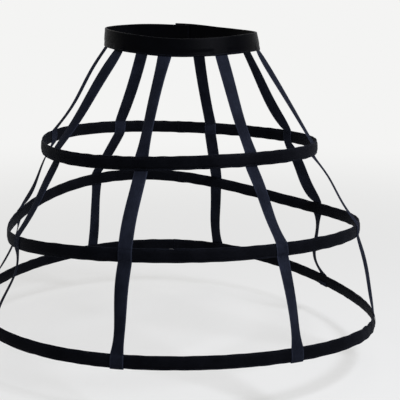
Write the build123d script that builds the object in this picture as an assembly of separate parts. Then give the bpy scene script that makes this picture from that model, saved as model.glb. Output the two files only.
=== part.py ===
from build123d import *
import math
import os
from dataclasses import dataclass

# A crinoline cage: a waistband, eight tapes and three boned hoops.
# Units are millimetres. The origin is the centre of the waist, at the middle of the waistband's height.
# The front faces -Y. Angles are in degrees, from the front towards +X, and angle 180 is the centre back.

# Waistband
WAIST_HALF_WIDTH = 130.0
WAIST_HALF_DEPTH = 117.0
BAND_HEIGHT = 30.0
BAND_LAYER = 0.9
BAND_SLOPE = 15.1
LAP_LENGTH = 26.0
LAP_EASING_ANGLE = 30.0

# Tapes
TAPE_WIDTH = 20.0
TAPE_THICKNESS = 0.8
TAPE_TUCK = 9.0
TAPE_TAIL = 1.0
TAPE_STRIPS = 4

# Stiffener inside the waistband
STIFFENER_HEIGHT = 17.0
STIFFENER_THICKNESS = 0.8

# Hoop casings, each a flat tube of cloth that swells over its bone
CASING_HEIGHT = 22.0
CASING_CLOTH = 0.7
CASING_EDGE_THICKNESS = 1.6
CASING_SWELL_HEIGHT = 15.0

# Hoop bones, each one flat strip whose ends meet in a sleeve
BONE_HEIGHT = 12.0
BONE_THICKNESS = 1.0
BONE_END_GAP = 2.0
SLEEVE_WALL = 0.4
SLEEVE_LENGTH = 36.0
JOINT_ANGLE = 190.0

# Hooks and bars that close the waistband
HOOK_METAL = 0.6
HOOK_HEIGHT = 8.0
HOOK_PLATE_LENGTH = 12.0
HOOK_TONGUE_LENGTH = 6.5
BAR_WIDTH = 1.8
BAR_LENGTH = 12.4
BAR_FOOT = 1.2
HOOK_SPACING = 14.6

# Clearances
SLIP = 0.2
SEW_GAP = 0.3
HOOK_PLAY = 0.2

# How finely the curved pieces are faceted: an even number of facets round a loop, and the steps of a span
LOOP_FACETS = 68
SPAN_STEPS = 6

# Worked out from the sizes above
FACET_ANGLE = 360 / LOOP_FACETS
BAND_POCKET = TAPE_THICKNESS + 2 * SLIP
BAND_THICKNESS = BAND_POCKET + 2 * BAND_LAYER
SLEEVE_THICKNESS = BONE_THICKNESS + 2 * SLIP + 2 * SLEEVE_WALL
SLEEVE_HEIGHT = BONE_HEIGHT + 2 * SLIP + 2 * SLEEVE_WALL
CASING_POCKET = BONE_THICKNESS + 2 * SLIP
JOINT_POCKET = SLEEVE_THICKNESS + 2 * SLIP
CASING_THICKNESS = JOINT_POCKET + 2 * CASING_CLOTH
PLATE_SAG = HOOK_PLATE_LENGTH / 2 * math.tan(math.radians(FACET_ANGLE / 2))
HOOK_GAP = 3 * HOOK_METAL + 4 * HOOK_PLAY + PLATE_SAG
LAP_SHIFT = (BAND_THICKNESS + HOOK_GAP) / 2
LAP_HALF_ANGLE = math.degrees(LAP_LENGTH / 2 / WAIST_HALF_DEPTH)


@dataclass(frozen=True)
class Loop:
    """One level of the cage, as it hangs: an ellipse with a tilt and the gentle waves of a soft hoop.

    swell and wave give (cosine, sine) parts in mm, at two and at three waves round the loop.
    tilt is the rise along +X and along +Y. slope leans the top edge of what lies on the loop inwards, in
    degrees, and lean is how much more it does so on the right, and at the front and back.
    """

    centre: tuple
    half_width: float
    half_depth: float
    slope: float
    tilt: tuple = (0.0, 0.0)
    swell: tuple = ((0.0, 0.0), (0.0, 0.0))
    wave: tuple = ((0.0, 0.0), (0.0, 0.0))
    lean: tuple = (0.0, 0.0)
    lap: float = 0.0

    def harmonics(self, parts, angle):
        """Sum of the second and third harmonics at an angle."""
        turn = math.radians(angle)
        return sum(c * math.cos(k * turn) + s * math.sin(k * turn) for k, (c, s) in zip((2, 3), parts))

    def lap_shift(self, angle):
        """How far the lapped ends stand off the loop: outwards at one end and inwards at the other."""
        start = 180 - LAP_HALF_ANGLE - LAP_EASING_ANGLE
        way = min(max((abs(angle) - start) / LAP_EASING_ANGLE, 0.0), 1.0)
        return math.copysign(self.lap * way * way * (3 - 2 * way), angle)

    def radius(self, angle):
        """Distance from the centre to the loop, seen from above."""
        turn = math.radians(angle)
        across = math.hypot(self.half_depth * math.sin(turn), self.half_width * math.cos(turn))
        return self.half_width * self.half_depth / across + self.harmonics(self.swell, angle)

    def corner(self, angle, out, up):
        """Point on the smooth loop, moved out from it and up along it, both across its slope."""
        turn = math.radians(angle)
        right, front = self.lean
        lean = math.radians(self.slope + right * math.sin(turn) + front * math.cos(2 * turn))
        cx, cy, cz = self.centre
        radius = self.radius(angle)
        out += self.lap_shift(angle)
        reach = radius + out * math.cos(lean) - up * math.sin(lean)
        foot = radius - up * math.sin(lean)
        drop = self.tilt[0] * foot * math.sin(turn) - self.tilt[1] * foot * math.cos(turn)
        height = cz + drop + self.harmonics(self.wave, angle)
        rise = out * math.sin(lean) + up * math.cos(lean)
        return Vector(cx + reach * math.sin(turn), cy - reach * math.cos(turn), height + rise)

    def spot(self, angle, out=0.0, up=0.0):
        """Point on the faceted loop, between two corners of its facets."""
        before = math.floor(angle / FACET_ANGLE) * FACET_ANGLE
        share = (angle - before) / FACET_ANGLE
        start = self.corner(before, out, up)
        return start + (self.corner(before + FACET_ANGLE, out, up) - start) * share

    def angles(self, start, end):
        """Angles of the facet corners from start to end, with the two ends themselves."""
        first, last = math.floor(start / FACET_ANGLE) + 1, math.ceil(end / FACET_ANGLE)
        return [start, *(i * FACET_ANGLE for i in range(first, last)), end]

    def arc(self, length, angle=180.0):
        """Angle that a length takes up on the loop."""
        return math.degrees(length / self.radius(angle))


WAIST = Loop(
    centre=(0.0, 0.0, 0.0),
    half_width=WAIST_HALF_WIDTH,
    half_depth=WAIST_HALF_DEPTH,
    slope=BAND_SLOPE,
    tilt=(-0.019, 0.036),
    wave=((-0.8, 0.8), (-1.4, 0.0)),
    lean=(4.4, 6.3),
    lap=LAP_SHIFT,
)

HOOPS = {
    "upper": Loop(
        centre=(-2.5, -4.4, -178.9),
        half_width=231.7,
        half_depth=231.7,
        slope=2.9,
        tilt=(-0.001, -0.018),
        swell=((-4.5, -0.9), (0.0, -0.4)),
        wave=((0.3, 3.4), (0.5, 0.2)),
    ),
    "middle": Loop(
        centre=(-0.3, -2.6, -310.8),
        half_width=305.5,
        half_depth=305.5,
        slope=1.8,
        tilt=(-0.0065, -0.001),
        swell=((0.8, -1.8), (-0.5, -7.5)),
        wave=((11.6, 7.8), (-2.5, -5.2)),
    ),
    "lower": Loop(
        centre=(-7.2, 6.5, -462.3),
        half_width=351.0,
        half_depth=351.0,
        slope=6.4,
        tilt=(-0.0127, 0.0021),
        swell=((5.0, 10.1), (-6.1, 4.2)),
        wave=((6.7, 5.7), (-1.6, 2.1)),
    ),
}

# Which face of each casing the tapes are sewn to: -1 inside the hoop, 1 outside it
TAPE_SIDES = {"upper": -1, "middle": 1, "lower": 1}


@dataclass(frozen=True)
class Slack:
    """How a tape hangs between two levels.

    Each pair is the part that is greatest at the middle of the stretch and the part that swings from its upper
    to its lower half. out and along are how far the tape strays from the straight line, outwards and towards
    +angle, in mm. turn is how far it twists about its own length, in degrees.
    """

    out: tuple
    along: tuple
    turn: tuple


@dataclass(frozen=True)
class Tape:
    """One tape: its angle at the waist and at each hoop, and its slack on the way to each hoop."""

    waist: float
    hoops: tuple
    slack: tuple


TAPES = {
    "front": Tape(
        waist=-11.9,
        hoops=(-14.1, -14.5, -14.0),
        slack=(
            Slack((1.3, -0.2), (-1.6, -0.2), (26, 2)),
            Slack((2.6, -0.5), (-1.8, 0.4), (2, 12)),
            Slack((-1.2, -0.1), (-1.6, -1.2), (11, -23)),
        ),
    ),
    "front_right": Tape(
        waist=31.9,
        hoops=(30.5, 32.7, 31.2),
        slack=(
            Slack((-1.2, 0.3), (-1.2, 0.6), (-10, 7)),
            Slack((5.2, 0.3), (-4.2, 2.3), (-8, 17)),
            Slack((3.7, -0.9), (1.4, 0.5), (-15, 14)),
        ),
    ),
    "right": Tape(
        waist=77.0,
        hoops=(74.0, 76.0, 76.0),
        slack=(
            Slack((1.2, -0.2), (0.0, 0.1), (-5, 0)),
            Slack((-0.3, 2.3), (4.5, 1.6), (-7, -2)),
            Slack((3.4, 1.0), (1.4, 0.3), (10, -4)),
        ),
    ),
    "back_right": Tape(
        waist=123.0,
        hoops=(122.1, 122.5, 122.0),
        slack=(
            Slack((-3.4, 1.5), (0.3, -0.4), (-17, 19)),
            Slack((-2.6, 2.8), (-1.8, 0.1), (-31, 11)),
            Slack((-13.3, 5.6), (-0.4, -0.4), (25, 9)),
        ),
    ),
    "back": Tape(
        waist=168.0,
        hoops=(165.7, 167.2, 167.0),
        slack=(
            Slack((-3.0, 0.0), (1.0, 0.0), (10, 0)),
            Slack((-2.0, 0.0), (-1.0, 0.0), (-8, 0)),
            Slack((-2.2, 0.4), (2.4, -1.0), (12, -8)),
        ),
    ),
    "back_left": Tape(
        waist=-147.0,
        hoops=(-149.3, -147.1, -150.5),
        slack=(
            Slack((-4.0, 0.0), (-1.0, 0.0), (12, 0)),
            Slack((-2.5, 0.0), (1.0, 0.0), (6, 0)),
            Slack((0.0, 0.4), (0.0, 0.4), (-7, -8)),
        ),
    ),
    "left": Tape(
        waist=-102.0,
        hoops=(-105.3, -101.5, -104.0),
        slack=(
            Slack((-1.4, 3.2), (-0.6, -0.1), (-7, 4)),
            Slack((-3.8, 3.6), (4.3, -1.7), (-25, 9)),
            Slack((-7.1, -0.8), (-0.6, -0.1), (-18, -1)),
        ),
    ),
    "front_left": Tape(
        waist=-53.5,
        hoops=(-58.0, -57.7, -59.0),
        slack=(
            Slack((-0.7, 1.2), (0.5, -0.8), (-12, -8)),
            Slack((-2.0, 1.1), (0.2, -0.2), (-3, -5)),
            Slack((-8.5, -4.6), (-2.6, -0.6), (18, -1)),
        ),
    ),
}


def quad(a, b, c, d):
    """Two flat triangles that span four corners."""
    return [Face(Wire.make_polygon(corners)) for corners in ((a, b, c), (a, c, d))]


def skin(rings, closed=False):
    """Solid whose sides join each ring of corners to the next, closed by end faces unless it is a loop."""
    faces = []
    count = len(rings[0])
    for ring, following in zip(rings, rings[1:] + rings[:1] if closed else rings[1:]):
        for i in range(count):
            j = (i + 1) % count
            faces += quad(ring[i], ring[j], following[j], following[i])
    if not closed:
        for ring in (rings[0], rings[-1]):
            for i in range(count // 2 - 1):
                faces += quad(ring[i], ring[i + 1], ring[count - 2 - i], ring[count - 1 - i])
    return Solid(Shell(faces))


def band(loop, section, start=None, end=None):
    """Solid strip along a loop with a given section of (out, up) corners, closed when it has no ends."""
    closed = start is None
    angles = loop.angles(0.0, 360.0)[:-1] if closed else loop.angles(start, end)
    return skin([[loop.spot(angle, out, up) for out, up in section] for angle in angles], closed)


def block(thickness, low, high):
    """Corners of a rectangular section, centred on the loop."""
    half = thickness / 2
    return [(-half, low), (half, low), (half, high), (-half, high)]


def make_casing(loop):
    """Flat cloth tube that is thickest over the bone, with room inside for the bone and its sleeve."""
    edge, half = CASING_EDGE_THICKNESS / 2, CASING_THICKNESS / 2
    rim, swell = CASING_HEIGHT / 2, CASING_SWELL_HEIGHT / 2
    section = [(-edge, -rim), (edge, -rim), (half, -swell), (half, swell)]
    section += [(edge, rim), (-edge, rim), (-half, swell), (-half, -swell)]
    bone_room = BONE_HEIGHT / 2 + SLIP
    sleeve_room = SLEEVE_HEIGHT / 2 + SLIP
    half_joint = loop.arc(SLEEVE_LENGTH / 2 + SLIP)
    casing = band(loop, section)
    casing -= band(loop, block(CASING_POCKET, -bone_room, bone_room))
    casing -= band(
        loop,
        block(JOINT_POCKET, -sleeve_room, sleeve_room),
        JOINT_ANGLE - half_joint,
        JOINT_ANGLE + half_joint,
    )
    return casing


def make_bone(loop):
    """Flat strip bent into a hoop, with its two ends apart by a small gap."""
    half_gap = loop.arc(BONE_END_GAP / 2)
    section = block(BONE_THICKNESS, -BONE_HEIGHT / 2, BONE_HEIGHT / 2)
    return band(loop, section, JOINT_ANGLE + half_gap, JOINT_ANGLE + 360 - half_gap)


def make_sleeve(loop):
    """Flat metal sleeve that holds the two ends of a bone."""
    half_length = loop.arc(SLEEVE_LENGTH / 2)
    ends = (JOINT_ANGLE - half_length, JOINT_ANGLE + half_length)
    outside = band(loop, block(SLEEVE_THICKNESS, -SLEEVE_HEIGHT / 2, SLEEVE_HEIGHT / 2), *ends)
    reach = BONE_HEIGHT / 2 + SLIP
    over = loop.arc(BONE_END_GAP)
    return outside - band(loop, block(CASING_POCKET, -reach, reach), ends[0] - over, ends[1] + over)


def make_waistband():
    """Doubled band with lapped ends, a closed pocket for the stiffener and a slot for each tape."""
    ends = (-180 - LAP_HALF_ANGLE, 180 + LAP_HALF_ANGLE)
    margin = WAIST.arc(BAND_LAYER)
    low, high = stiffener_span()
    body = band(WAIST, block(BAND_THICKNESS, -BAND_HEIGHT / 2, BAND_HEIGHT / 2), *ends)
    pocket = block(STIFFENER_THICKNESS + 2 * SLIP, low - SLIP, high + SLIP)
    body -= band(WAIST, pocket, ends[0] + margin, ends[1] - margin)
    slot_top = TAPE_TUCK - BAND_HEIGHT / 2 + SLIP
    for tape in TAPES.values():
        half = WAIST.arc(TAPE_WIDTH / 2 + SLIP, tape.waist)
        slot = block(BAND_POCKET, -BAND_HEIGHT, slot_top)
        body -= band(WAIST, slot, tape.waist - half, tape.waist + half)
    return body


def stiffener_span():
    """Bottom and top of the stiffener, which sits under the band's top fold."""
    high = BAND_HEIGHT / 2 - BAND_LAYER - SLIP
    return high - STIFFENER_HEIGHT, high


def make_stiffener():
    """Strip that keeps the waistband from rolling, one slip shorter at each end than its pocket."""
    margin = WAIST.arc(BAND_LAYER + SLIP)
    ends = (margin - 180 - LAP_HALF_ANGLE, 180 + LAP_HALF_ANGLE - margin)
    return band(WAIST, block(STIFFENER_THICKNESS, *stiffener_span()), *ends)


def tape_stations(tape):
    """Levels where a tape lies flat on something, each as (loop, angle, out, highest, lowest)."""
    stations = [(WAIST, tape.waist, 0.0, TAPE_TUCK - BAND_HEIGHT / 2, -BAND_HEIGHT / 2)]
    stand_off = CASING_THICKNESS / 2 + SEW_GAP + TAPE_THICKNESS / 2
    for (name, loop), angle in zip(HOOPS.items(), tape.hoops):
        tail = TAPE_TAIL if name == "lower" else 0.0
        out = TAPE_SIDES[name] * stand_off
        stations.append((loop, angle, out, CASING_HEIGHT / 2, -CASING_HEIGHT / 2 - tail))
    return stations


def tape_section(station, up):
    """Corners of a tape's section where it lies on a loop: the outer face's, then the inner face's."""
    loop, angle, out, _, _ = station
    corners = []
    for side in (1, -1):
        for i in range(TAPE_STRIPS + 1):
            share = side * (i / TAPE_STRIPS - 0.5)
            turn = angle + loop.arc(share * TAPE_WIDTH, angle)
            corners.append(loop.spot(turn, out + side * TAPE_THICKNESS / 2, up))
    return corners


def middle(points):
    """Centre of a list of points."""
    return sum(points, Vector()) * (1 / len(points))


def span_rings(top, bottom, slack):
    """Sections of a tape between two levels, with its slack and its twist."""
    start, end = middle(top), middle(bottom)
    axis = Axis((0, 0, 0), end - start)
    outwards = Vector(start.X + end.X, start.Y + end.Y, 0).normalized()
    sideways = Vector(0, 0, 1).cross(outwards)
    rings = []
    for i in range(1, SPAN_STEPS):
        share = i / SPAN_STEPS
        swing, sway = math.sin(math.pi * share), math.sin(2 * math.pi * share)
        out = slack.out[0] * swing + slack.out[1] * sway
        along = slack.along[0] * swing + slack.along[1] * sway
        easing = 1 - (2 * share - 1) ** 4
        turn = easing * (slack.turn[0] + slack.turn[1] * (1 - 2 * share))
        place = start + (end - start) * share + outwards * out + sideways * along
        arms = [(a - start) * (1 - share) + (b - end) * share for a, b in zip(top, bottom)]
        rings.append([place + arm.rotate(axis, turn) for arm in arms])
    return rings


def make_tape(tape):
    """One tape from its tuck in the waistband to its tail at the lower hoop."""
    rings = []
    for number, station in enumerate(tape_stations(tape)):
        highest, lowest = tape_section(station, station[3]), tape_section(station, station[4])
        if rings:
            rings += span_rings(rings[-1], highest, tape.slack[number - 1])
        rings += [highest, lowest]
    return skin(rings)


def lap_plane(up):
    """Plane at the centre back: x towards +X, y outwards from the loop and z up along the band."""
    origin = WAIST.spot(180, -LAP_SHIFT, up)
    outwards = WAIST.spot(180, 1 - LAP_SHIFT, up) - origin
    upwards = WAIST.spot(180, -LAP_SHIFT, up + 1) - origin
    return Plane(origin=origin, x_dir=outwards.cross(upwards), z_dir=upwards)


def make_hook(up):
    """Flat hook on the overlapping end: a plate, a bend and a tongue that goes under the bar."""
    top = HOOK_GAP / 2 - HOOK_PLAY - PLATE_SAG
    tongue_low = HOOK_PLAY - HOOK_GAP / 2
    left = -HOOK_PLATE_LENGTH / 2
    outline = [(left, top), (left + HOOK_PLATE_LENGTH, top), (left + HOOK_PLATE_LENGTH, top - HOOK_METAL)]
    outline += [(left + HOOK_METAL, top - HOOK_METAL), (left + HOOK_METAL, tongue_low + HOOK_METAL)]
    outline += [(left + HOOK_TONGUE_LENGTH, tongue_low + HOOK_METAL)]
    outline += [(left + HOOK_TONGUE_LENGTH, tongue_low), (left, tongue_low)]
    face = Face(Wire.make_polygon([Vector(x, y, 0) for x, y in outline]))
    hook = extrude(face, HOOK_HEIGHT / 2, dir=(0, 0, 1), both=True)
    return lap_plane(up) * hook


def make_bar(up):
    """Flat bar on the underlying end, raised on two feet so that the tongue passes under it."""
    left = -HOOK_PLATE_LENGTH / 2 + HOOK_METAL + HOOK_PLAY
    low = HOOK_PLAY - HOOK_GAP / 2 + HOOK_METAL + HOOK_PLAY
    foot_low = SLIP - HOOK_GAP / 2
    half = BAR_LENGTH / 2
    outline = [(foot_low, -half), (low + HOOK_METAL, -half), (low + HOOK_METAL, half), (foot_low, half)]
    outline += [(foot_low, half - BAR_FOOT), (low, half - BAR_FOOT), (low, BAR_FOOT - half)]
    outline += [(foot_low, BAR_FOOT - half)]
    face = Face(Wire.make_polygon([Vector(left, y, z) for y, z in outline]))
    bar = extrude(face, BAR_WIDTH, dir=(1, 0, 0))
    return lap_plane(up) * bar


def make_parts():
    """Every piece of the cage, by name."""
    parts = {"waistband": make_waistband(), "waistband_stiffener": make_stiffener()}
    for name, up in (("upper", HOOK_SPACING / 2), ("lower", -HOOK_SPACING / 2)):
        parts[f"waist_hook_{name}"] = make_hook(up)
        parts[f"waist_bar_{name}"] = make_bar(up)
    for name, tape in TAPES.items():
        parts[f"tape_{name}"] = make_tape(tape)
    for name, loop in HOOPS.items():
        parts[f"hoop_casing_{name}"] = make_casing(loop)
        parts[f"hoop_bone_{name}"] = make_bone(loop)
        parts[f"bone_sleeve_{name}"] = make_sleeve(loop)
    return parts


if __name__ == "__main__":
    os.makedirs("parts", exist_ok=True)
    for name, shape in make_parts().items():
        export_step(shape, f"parts/{name}.step")
        print(name, f"{shape.volume:.0f} mm3", "valid" if shape.is_valid else "NOT VALID")
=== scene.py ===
import logging
import math
from dataclasses import dataclass, field
from enum import Enum

import bpy
import numpy as np
from mathutils import Matrix, Vector


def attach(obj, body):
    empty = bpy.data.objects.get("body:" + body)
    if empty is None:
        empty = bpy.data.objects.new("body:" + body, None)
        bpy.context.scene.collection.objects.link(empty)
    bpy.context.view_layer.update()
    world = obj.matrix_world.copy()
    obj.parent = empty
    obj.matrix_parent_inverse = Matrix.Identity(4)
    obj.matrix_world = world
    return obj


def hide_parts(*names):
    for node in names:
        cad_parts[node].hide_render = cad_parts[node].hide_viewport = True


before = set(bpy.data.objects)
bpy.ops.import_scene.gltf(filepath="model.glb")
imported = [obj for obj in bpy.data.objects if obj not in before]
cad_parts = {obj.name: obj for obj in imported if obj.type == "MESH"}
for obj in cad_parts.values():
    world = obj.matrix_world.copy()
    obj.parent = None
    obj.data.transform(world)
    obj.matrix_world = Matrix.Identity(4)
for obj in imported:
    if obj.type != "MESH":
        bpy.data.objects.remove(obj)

# The cloth, thread and metal of a crinoline cage, hung as it is worn.
# Lengths are millimetres in the row frame: the front faces -Y, +Z is up and the origin is the centre of the
# waist. They become metres where a mesh is made. Angles are degrees from the front towards +X.

log = logging.getLogger("crinoline_cage")

# Short names for the types that most functions take
Array = np.ndarray
Tree = bpy.types.NodeTree
Socket = bpy.types.NodeSocket

MM = 0.001
CLOTH_MAP = "cloth"
# Cloudy noise stays mostly between these two values
NOISE_SPAN = (0.3, 0.7)

# Cut and sewing sizes. A rim is how far a piece's edge lies from its middle, and a seam how far its stitches do.
TAPE_WIDTH = 21.5
TAPE_THICKNESS = 0.8
CASING_RIM = 11.0
CASING_SEAM = 8.7
BAND_RIM = 15.0
BAND_SEAM = 12.6
# Angle over which the lapped ends of a loop part from its line
LAP_EASING = 30.0


class Weave(Enum):
    """How the threads of a cloth cross, which sets its relief."""

    SATIN = "satin"
    TWILL = "twill"
    PLAIN = "plain"


class Face(Enum):
    """The face of a hoop casing that the tapes are sewn to."""

    INSIDE = -1
    OUTSIDE = 1


class Held(Enum):
    """How a sheet of cloth is held, in the words of the frame."""

    HUNG = "hung"
    STRETCHED = "stretched"
    FOLDED = "folded"


def smooth(share: Array) -> Array:
    """Eases a share from 0 to 1, flat at both ends."""
    share = np.clip(share, 0.0, 1.0)
    return share * share * (3 - 2 * share)


def beyond(distance: Array, start: float, fade: float) -> Array:
    """Share that is 0 up to a distance on both sides, and rises to 1 over the fade."""
    return smooth((np.abs(distance) - start) / fade)


def within(distance: Array, start: float, fade: float) -> Array:
    """Share that is 1 up to a distance on both sides, and falls to 0 over the fade."""
    return 1 - beyond(distance, start, fade)


def bump(distance: Array, half_width: float) -> Array:
    """Round bump of height 1 at no distance, gone at about twice the half width."""
    return np.exp(-((distance / half_width) ** 2))


def apart(angle: Array, place: float) -> Array:
    """Turn from a place to an angle by the short way round, in degrees."""
    return (angle - place + 180) % 360 - 180


def distances(line: Array) -> Array:
    """Distance along a line of points from its start to each of them."""
    return np.concatenate([[0.0], np.cumsum(np.linalg.norm(np.diff(line, axis=0), axis=1))])


def unit(vectors: Array) -> Array:
    """Scales vectors to length 1."""
    return vectors / np.maximum(np.linalg.norm(vectors, axis=-1, keepdims=True), 1e-9)


def linear(colour: str) -> tuple[float, float, float, float]:
    """Turns an sRGB hex colour into linear red, green, blue and alpha."""
    parts = [int(colour[i : i + 2], 16) / 255 for i in (1, 3, 5)]
    red, green, blue = (p / 12.92 if p <= 0.04045 else ((p + 0.055) / 1.055) ** 2.4 for p in parts)
    return red, green, blue, 1.0


def add_node(tree: Tree, kind: str, values: dict | None = None, **settings) -> bpy.types.Node:
    """Adds one node with its settings and links.

    Args:
        tree: The node tree to add to.
        kind: The node's type name, without the leading ShaderNode.
        values: For each input, by name or number, a plain value or the output socket to link.
        settings: Attributes of the node itself.

    Returns:
        The new node.
    """
    node = tree.nodes.new("ShaderNode" + kind)
    for name, value in settings.items():
        setattr(node, name, value)
    for key, value in (values or {}).items():
        if isinstance(value, Socket):
            tree.links.new(value, node.inputs[key])
        else:
            node.inputs[key].default_value = value
    return node


def empty_tree(block: bpy.types.ID) -> Tree:
    """Gives a material or a world an empty node tree."""
    block.use_nodes = True
    block.node_tree.nodes.clear()
    return block.node_tree


def add_object(name: str, data: bpy.types.ID) -> bpy.types.Object:
    """Makes an object of its data and puts it in the scene."""
    made = bpy.data.objects.new(name, data)
    bpy.context.scene.collection.objects.link(made)
    return made


def solid_place(tree: Tree) -> Socket:
    """Position in the object's own frame, in metres."""
    return add_node(tree, "TexCoord").outputs["Object"]


def stretched(tree: Tree, place: Socket, scale: tuple[float, float, float], turn: float = 0.0) -> Socket:
    """Scales a position along its three axes and turns it about the third, by an angle in radians."""
    return add_node(tree, "Mapping", {"Vector": place, "Scale": scale, "Rotation": (0, 0, turn)}).outputs[0]


def noise(tree: Tree, place: Socket, scale: float, detail: float, roughness: float = 0.5) -> Socket:
    """Cloudy noise from 0 to 1."""
    values = {"Vector": place, "Scale": scale, "Detail": detail, "Roughness": roughness}
    return add_node(tree, "TexNoise", values).outputs["Fac"]


def bands(tree: Tree, place: Socket, pitch: float, axis: str = "X", values: dict | None = None) -> Socket:
    """Soft stripes from 0 to 1 across an axis, at a pitch in the units of the position."""
    # A wave texture at scale 1 repeats every 2 pi / 20 units
    inputs = {"Vector": place, "Scale": 2 * math.pi / 20 / pitch, **(values or {})}
    return add_node(tree, "TexWave", inputs, bands_direction=axis).outputs["Fac"]


def mapped(tree: Tree, value: Socket, span: tuple, onto: tuple, easing: str = "LINEAR") -> Socket:
    """Moves a value from one span of (low, high) onto another, and holds it there beyond both ends."""
    inputs = {"Value": value, 1: span[0], 2: span[1], 3: onto[0], 4: onto[1]}
    return add_node(tree, "MapRange", inputs, interpolation_type=easing).outputs[0]


def joined(tree: Tree, operation: str, first: Socket, second: Socket) -> Socket:
    """Joins two values by an operation of the maths node."""
    return add_node(tree, "Math", {0: first, 1: second}, operation=operation).outputs[0]


def blend(tree: Tree, share: Socket, first: Socket | tuple, second: Socket | tuple) -> Socket:
    """Mixes two colours by the share of the second."""
    return add_node(tree, "Mix", {0: share, 6: first, 7: second}, data_type="RGBA").outputs[2]


def raised(tree: Tree, height: Socket, depth: float) -> Socket:
    """Relief of a height from 0 to 1, with its depth in mm."""
    return add_node(tree, "Bump", {"Height": height, "Distance": depth * MM}).outputs[0]


def ramp(tree: Tree, share: Socket, stops: list[tuple[float, str]]) -> Socket:
    """Colours a share through two or more stops of (place, sRGB hex)."""
    node = add_node(tree, "ValToRGB", {"Fac": share})
    elements = node.color_ramp.elements
    while len(elements) < len(stops):
        elements.new(0.5)
    for element, (place, colour) in zip(elements, stops):
        element.position = place
        element.color = linear(colour)
    return node.outputs["Color"]


@dataclass(frozen=True)
class Finish:
    """What a surface is made of. Each kind of finish says how it looks."""

    name: str

    def look(self, tree: Tree) -> dict:
        """Values and sockets for the inputs of the surface shader."""
        raise NotImplementedError

    def material(self) -> bpy.types.Material:
        """Builds the material."""
        material = bpy.data.materials.new(self.name)
        tree = empty_tree(material)
        shader = add_node(tree, "BsdfPrincipled", self.look(tree))
        add_node(tree, "OutputMaterial", {"Surface": shader.outputs[0]})
        return material


@dataclass(frozen=True)
class ClothFinish(Finish):
    """A woven cloth: its colour, the painted light on its thread tops, its weave, how it wears and the painted
    highlight on its edges.

    thread is the spacing of the weave in mm and relief its depth in mm. The edges are painted lighter by a share
    from 0 to 1, partly rubbing wear and partly a painted highlight, and edge is how far from the middle those
    edges start, in mm.
    """

    weave: Weave
    deep: str
    face: str
    edge_wear_and_highlight: str
    sheen_colour: str
    thread: float
    relief: float
    roughness: tuple[float, float]
    specular: float
    sheen: float
    sheen_roughness: float
    edge: float = 9.0
    edge_wear_and_highlight_share: float = 0.5
    ior: float = 1.53

    def threads(self, tree: Tree, place: Socket) -> Socket:
        """Relief of the weave at a position in mm: 0 between the threads and 1 on their tops."""
        # The slant of the ribs, the axis that the crossing threads lie across and how much of them shows
        turn, axis, share = {
            Weave.TWILL: (63.0, "X", 0.3),
            Weave.SATIN: (20.0, "Y", 0.2),
            Weave.PLAIN: (0.0, "Y", 0.5),
        }[self.weave]
        turned = stretched(tree, place, (1, 1, 1), math.radians(turn))
        ribs = bands(tree, turned, self.thread, "X", {"Distortion": 0.5, "Detail": 2.0, "Detail Scale": 1.5})
        crossing = bands(tree, place, self.thread, axis, {"Distortion": 0.4, "Detail": 1.0})
        return add_node(tree, "Mix", {0: share, 2: ribs, 3: crossing}, data_type="FLOAT").outputs[0]

    def look(self, tree: Tree) -> dict:
        """Threads, cloudy dye and edges painted lighter, partly by wear and partly as a painted highlight."""
        uv = add_node(tree, "UVMap", uv_map=CLOTH_MAP).outputs[0]
        place = stretched(tree, uv, (1000, 1000, 1000))
        height = self.threads(tree, place)
        # Uneven dye and handling: cloudy patches about 40 mm across, and fine slubs along the threads
        patches = noise(tree, solid_place(tree), 25.0, 4.0, 0.6)
        slubs = noise(tree, stretched(tree, place, (0.12, 1.4, 1.0)), 1.0, 3.0)
        # The weave's relief is painted into the colour too: painted shade in the hollows between the threads and
        # painted light on the thread tops
        body = blend(tree, joined(tree, "MULTIPLY", height, slubs), linear(self.deep), linear(self.face))
        cloudy = mapped(tree, patches, (0.35, 0.7), (0.7, 1.25))
        toned = add_node(tree, "HueSaturation", {"Color": body, "Value": cloudy}).outputs[0]
        # The edges are painted lighter in broken patches: partly rubbing wear, partly a painted highlight on the
        # rounded edges
        across = add_node(tree, "SeparateXYZ", {0: place}).outputs[1]
        out = add_node(tree, "Math", {0: across}, operation="ABSOLUTE").outputs[0]
        edge = mapped(tree, out, (self.edge - 0.6, self.edge + 0.9), (0.0, self.edge_wear_and_highlight_share))
        broken = joined(tree, "MULTIPLY", edge, patches)
        return {
            "Base Color": blend(tree, broken, toned, linear(self.edge_wear_and_highlight)),
            "Roughness": mapped(tree, slubs, NOISE_SPAN, self.roughness),
            "Normal": raised(tree, height, self.relief),
            "IOR": self.ior,
            "Specular IOR Level": self.specular,
            "Sheen Weight": self.sheen,
            "Sheen Roughness": self.sheen_roughness,
            "Sheen Tint": linear(self.sheen_colour),
        }


@dataclass(frozen=True)
class ThreadFinish(Finish):
    """Sewing thread: spun polyester, two plies twisted together, a little glossier than the cloth."""

    colour: str
    highlight: str
    ply: float = 0.5

    def look(self, tree: Tree) -> dict:
        """Slanting stripes, which are the twist of the plies."""
        uv = add_node(tree, "UVMap", uv_map=CLOTH_MAP).outputs[0]
        twist = bands(tree, stretched(tree, uv, (1000, 1000, 1000), 0.6), self.ply)
        return {
            "Base Color": ramp(tree, twist, [(0.0, self.colour), (1.0, self.highlight)]),
            "Roughness": 0.5,
            "Normal": raised(tree, twist, 0.05),
            "Specular IOR Level": 0.06,
        }


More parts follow.
